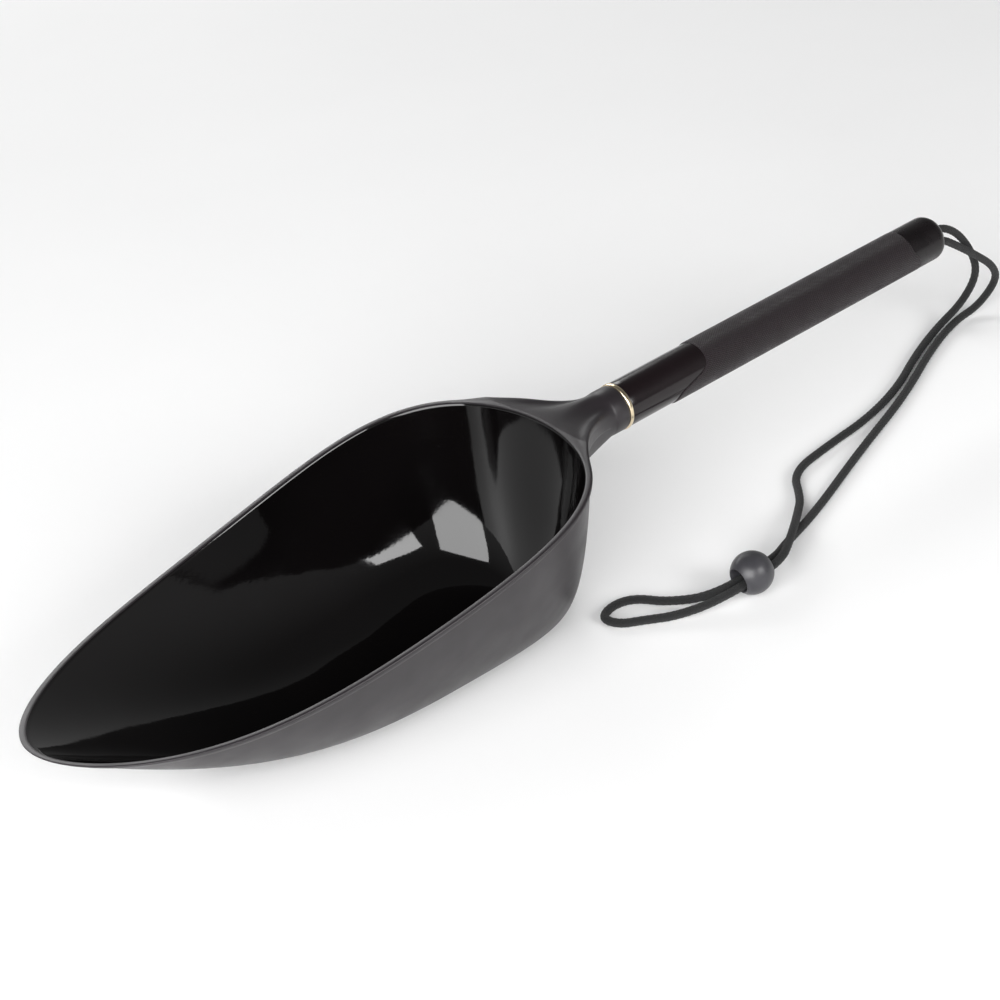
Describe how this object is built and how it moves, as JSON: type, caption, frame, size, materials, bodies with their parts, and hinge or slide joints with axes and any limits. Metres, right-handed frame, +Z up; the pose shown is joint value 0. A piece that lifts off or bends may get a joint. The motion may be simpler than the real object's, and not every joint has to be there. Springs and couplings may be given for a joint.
{
  "type": "bait scoop",
  "caption": "Deep solid-bowl hand scoop with a screw-on straight handle, brass threaded collar, cross-hatched grip and a braided wrist lanyard with a sliding bead.",
  "frame": {"origin": "centre of the footprint of scoop and handle, on the plane that the bowl rests on", "axes": "+Z up, +X along the handle from the bowl to the butt, +Y to the left of someone looking along +X"},
  "size_m": [0.6029, 0.1646, 0.0836],
  "materials": {
    "scoop_plastic": "satin moulded ABS, polished inside",
    "brass": "turned",
    "ring_brass": "polished",
    "handle_gloss": "gloss lacquer",
    "grip": "cross-hatched shrink sleeve",
    "cap_plastic": "satin",
    "cord": "braided nylon",
    "bead": "matte"
  },
  "bodies": {
    "scoop": {"scoop": "scoop_plastic", "neck_stud": "brass"},
    "lanyard": {"lanyard_cord": "cord", "lanyard_knot": "cord"},
    "handle": {"handle_insert": "ring_brass", "handle_tube": "handle_gloss", "grip_sleeve": "grip", "butt_cap": "cap_plastic"},
    "bead": {"cord_bead": "bead"}
  },
  "joints": [
    {"name": "handle_slide", "type": "slide", "parent": "scoop", "child": "lanyard", "axis": [1, 0, 0], "range_m": [0, 0.01016]},
    {"name": "handle_turn", "type": "hinge", "parent": "lanyard", "child": "handle", "pos_m": [0.05, 0, 0.068], "axis": [1, 0, 0], "range_deg": [0, 2880]},
    {"name": "bead_slide", "type": "slide", "parent": "lanyard", "child": "bead", "axis": [-0.9849, 0.125, -0.12], "range_m": [0, 0.005]}
  ],
  "couplings": [
    {"joint": "handle_slide", "follows": "handle_turn", "m_per_rad": 0.00020213}
  ]
}
